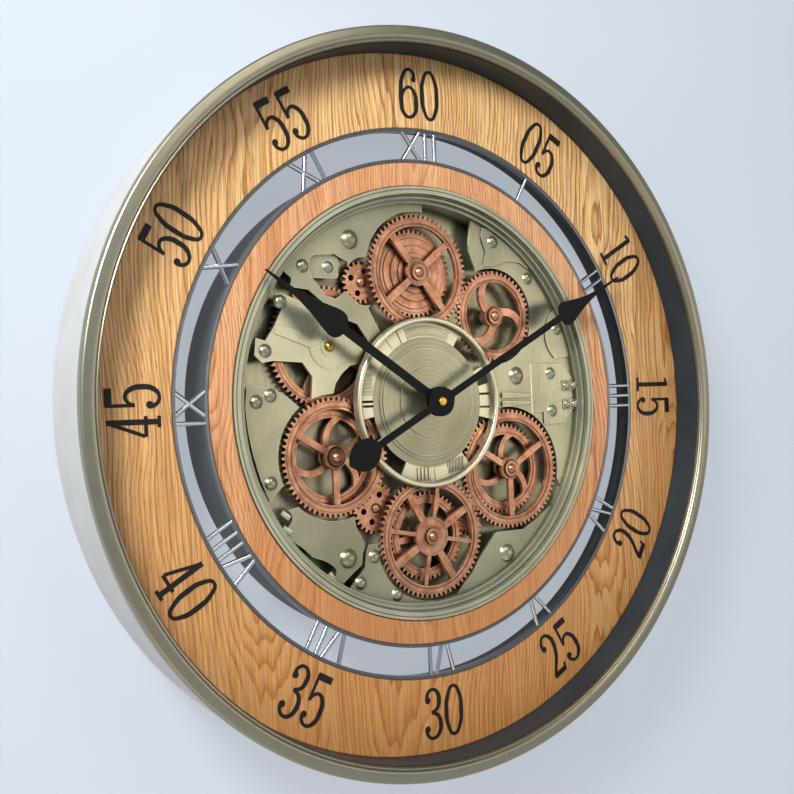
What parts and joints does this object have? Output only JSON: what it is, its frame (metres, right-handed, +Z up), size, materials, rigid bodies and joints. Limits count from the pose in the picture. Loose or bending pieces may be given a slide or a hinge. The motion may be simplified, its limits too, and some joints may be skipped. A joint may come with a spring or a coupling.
{
  "type": "wall clock",
  "caption": "Round wall clock with an open gear movement behind spade hands, oak dial rings joined by Roman numeral bars over a see-through gap, and a metal case hung by a keyhole.",
  "frame": {"origin": "spindle axis of the hands, in the plane of the wall", "axes": "dial faces -Y, +Z points up to the 12, +X to the right seen from the front"},
  "size_m": [0.5919, 0.08, 0.592],
  "materials": {
    "champagne_paint": "satin metallic champagne",
    "band_paint": "satin metallic pale champagne",
    "oak_veneer": "satin lacquer",
    "chrome": "polished",
    "black_paint": "matt",
    "zinc_steel": "bright zinc",
    "brass": "polished",
    "black_plastic": "matt",
    "antique_copper": "antique copper metallic"
  },
  "bodies": {
    "clock": {"front_bezel": "champagne_paint", "movement_rim": "champagne_paint", "base_plate": "champagne_paint", "upper_left_plate": "champagne_paint", "left_bridge": "champagne_paint", "left_plate": "champagne_paint", "lower_left_plate": "champagne_paint", "foot_plate": "champagne_paint", "lower_right_plate": "champagne_paint", "right_plate": "champagne_paint", "wave_plate": "champagne_paint", "step_plate": "champagne_paint", "large_posts": "champagne_paint", "plate_posts": "champagne_paint", "sub_dial": "champagne_paint", "centre_sleeve": "champagne_paint", "outer_dial_ring": "oak_veneer", "inner_dial_ring": "oak_veneer", "inner_chapter_ring": "chrome", "outer_chapter_ring": "chrome", "roman_numerals": "chrome", "liner": "black_paint", "rear_panel": "black_paint", "drum": "black_paint", "back_cover": "black_paint", "case_band": "band_paint", "hanger": "zinc_steel", "clock_cell": "zinc_steel", "motor_cell": "zinc_steel", "bush_nut": "brass", "clock_movement": "black_plastic", "gear_motor": "black_plastic", "cell_holder": "black_plastic"},
    "minute": {"minute_hand": "black_paint", "minute_shaft": "zinc_steel", "hand_cap": "brass", "set_knob": "black_plastic"},
    "hour": {"hour_hand": "black_paint", "hour_pipe": "brass"},
    "bottom": {"bottom_wheel": "antique_copper", "bottom_rear_wheel": "antique_copper", "bottom_arbor": "antique_copper"},
    "right": {"right_wheel": "antique_copper", "right_rear_wheel": "antique_copper", "right_arbor": "antique_copper"},
    "left": {"left_wheel": "antique_copper", "left_rear_wheel": "antique_copper", "left_arbor": "antique_copper"},
    "upper_left": {"upper_left_wheel": "antique_copper", "upper_left_arbor": "brass"},
    "top": {"top_wheel": "antique_copper", "top_rear_wheel": "antique_copper", "top_barrel": "antique_copper", "top_arbor": "antique_copper"},
    "upper_right": {"upper_right_wheel": "antique_copper", "upper_right_arbor": "antique_copper"},
    "top_pinion": {"top_pinion": "antique_copper"},
    "low_pinion": {"low_pinion": "antique_copper"},
    "drive_pinion": {"drive_pinion": "antique_copper"}
  },
  "joints": [
    {"name": "minute_turn", "type": "hinge", "parent": "clock", "child": "minute", "pos_m": [0, 0, 0], "axis": [0, 1, 0], "continuous": true},
    {"name": "hour_turn", "type": "hinge", "parent": "clock", "child": "hour", "pos_m": [0, 0, 0], "axis": [0, 1, 0], "continuous": true},
    {"name": "bottom_spin", "type": "hinge", "parent": "clock", "child": "bottom", "pos_m": [0.00192, -0.026, -0.10978], "axis": [0, 1, 0], "continuous": true},
    {"name": "right_spin", "type": "hinge", "parent": "clock", "child": "right", "pos_m": [0.08622, -0.026, -0.05933], "axis": [0, 1, 0], "continuous": true},
    {"name": "left_spin", "type": "hinge", "parent": "clock", "child": "left", "pos_m": [-0.08555, -0.026, -0.04029], "axis": [0, 1, 0], "continuous": true},
    {"name": "upper_left_spin", "type": "hinge", "parent": "clock", "child": "upper_left", "pos_m": [-0.08751, -0.026, 0.04594], "axis": [0, 1, 0], "continuous": true},
    {"name": "top_spin", "type": "hinge", "parent": "clock", "child": "top", "pos_m": [-0.00163, -0.026, 0.10642], "axis": [0, 1, 0], "continuous": true},
    {"name": "upper_right_spin", "type": "hinge", "parent": "clock", "child": "upper_right", "pos_m": [0.07474, -0.026, 0.07146], "axis": [0, 1, 0], "continuous": true},
    {"name": "top_pinion_spin", "type": "hinge", "parent": "clock", "child": "top_pinion", "pos_m": [-0.05192, -0.026, 0.09792], "axis": [0, 1, 0], "continuous": true},
    {"name": "low_pinion_spin", "type": "hinge", "parent": "clock", "child": "low_pinion", "pos_m": [-0.04611, -0.026, -0.08349], "axis": [0, 1, 0], "continuous": true},
    {"name": "drive_pinion_spin", "type": "hinge", "parent": "clock", "child": "drive_pinion", "pos_m": [0.04771, -0.026, -0.10171], "axis": [0, 1, 0], "continuous": true}
  ],
  "couplings": [
    {"joint": "hour_turn", "follows": "minute_turn", "ratio": 0.083333},
    {"joint": "right_spin", "follows": "bottom_spin", "ratio": -0.98485},
    {"joint": "drive_pinion_spin", "follows": "bottom_spin", "ratio": -3.1333},
    {"joint": "low_pinion_spin", "follows": "bottom_spin", "ratio": -1.8077},
    {"joint": "left_spin", "follows": "bottom_spin", "ratio": 0.90385},
    {"joint": "upper_left_spin", "follows": "bottom_spin", "ratio": -0.74603},
    {"joint": "top_pinion_spin", "follows": "bottom_spin", "ratio": 2.2381},
    {"joint": "top_spin", "follows": "bottom_spin", "ratio": -1},
    {"joint": "upper_right_spin", "follows": "bottom_spin", "ratio": 1.24}
  ]
}
